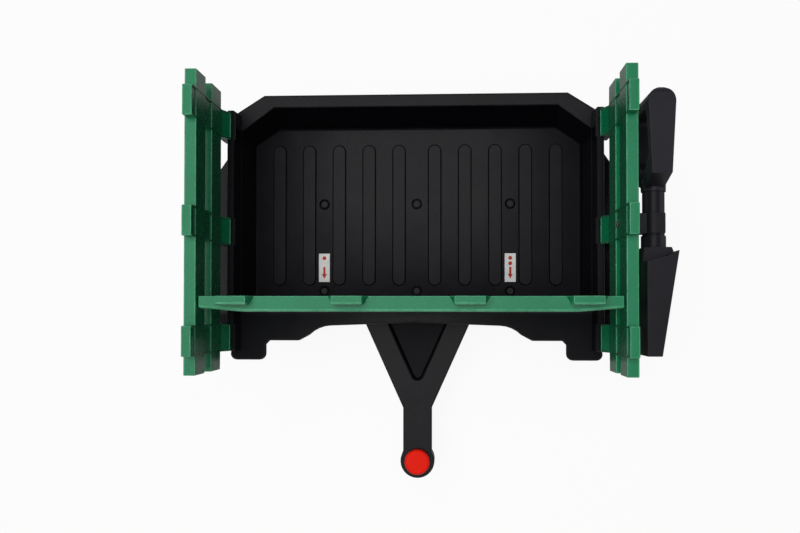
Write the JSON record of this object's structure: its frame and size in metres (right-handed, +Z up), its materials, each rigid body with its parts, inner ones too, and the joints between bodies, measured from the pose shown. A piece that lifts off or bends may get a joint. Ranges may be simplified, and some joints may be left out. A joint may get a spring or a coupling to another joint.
{
  "type": "ride-on toy trailer",
  "caption": "Toy farm trailer for a ride-on tractor: ribbed black tub on two wheels, lift-out green stake racks, forked drawbar with a drop-in hitch pin, and a clipped-on shovel.",
  "frame": {"origin": "on the ground, under the middle of the overall box", "axes": "+X to the trailer's right, -Y towards the drawbar and hitch, +Z up"},
  "size_m": [0.59, 0.5062, 0.3845],
  "materials": {
    "black_plastic": "satin moulded black polypropylene",
    "tyre_plastic": "hard blow-moulded black plastic, slightly scuffed on the tread",
    "rim_plastic": "satin grey moulded plastic",
    "green_plastic": "satin green moulded plastic",
    "red_plastic": "glossy red moulded plastic",
    "label": "white printed vinyl with a red arrow and dots",
    "nylon": "natural nylon",
    "steel": "zinc-plated steel"
  },
  "bodies": {
    "trailer": {"tub": "black_plastic", "underframe": "black_plastic", "floor_screws": "black_plastic", "left_label": "label", "right_label": "label", "drawbar": "black_plastic", "drawbar_bolts": "steel", "axle": "steel", "left_bush": "nylon", "right_bush": "nylon", "axle_washers": "steel", "axle_caps": "steel"},
    "left_wheel": {"left_tyre": "tyre_plastic", "left_rim": "rim_plastic", "left_hub_cap": "black_plastic"},
    "right_wheel": {"right_tyre": "tyre_plastic", "right_rim": "rim_plastic", "right_hub_cap": "black_plastic"},
    "pin": {"hitch_pin": "steel", "hitch_knob": "red_plastic"},
    "left_rack": {"left_side_rack": "green_plastic"},
    "right_rack": {"right_side_rack": "green_plastic", "shovel_clip": "black_plastic", "clip_screws": "steel"},
    "front_gate": {"front_rack": "green_plastic"},
    "shovel": {"shovel_blade": "black_plastic", "shovel_shaft": "black_plastic", "shovel_grip": "black_plastic", "shovel_screws": "steel"}
  },
  "joints": [
    {"name": "left_wheel_spin", "type": "hinge", "parent": "trailer", "child": "left_wheel", "pos_m": [-0.25, 0.05865, 0.09], "axis": [1, 0, 0], "continuous": true},
    {"name": "right_wheel_spin", "type": "hinge", "parent": "trailer", "child": "right_wheel", "pos_m": [0.25, 0.05865, 0.09], "axis": [1, 0, 0], "continuous": true},
    {"name": "hitch_pin_lift", "type": "slide", "parent": "trailer", "child": "pin", "axis": [0, 0, 1], "range_m": [0, 0.065]},
    {"name": "left_rack_lift", "type": "slide", "parent": "trailer", "child": "left_rack", "axis": [0, 0, 1], "range_m": [0, 0.05]},
    {"name": "right_rack_lift", "type": "slide", "parent": "trailer", "child": "right_rack", "axis": [0, 0, 1], "range_m": [0, 0.05]},
    {"name": "front_rack_lift", "type": "slide", "parent": "trailer", "child": "front_gate", "axis": [0, 0, 1], "range_m": [0, 0.05]},
    {"name": "shovel_unclip", "type": "slide", "parent": "right_rack", "child": "shovel", "axis": [1, 0, 0], "range_m": [0, 0.06]}
  ]
}
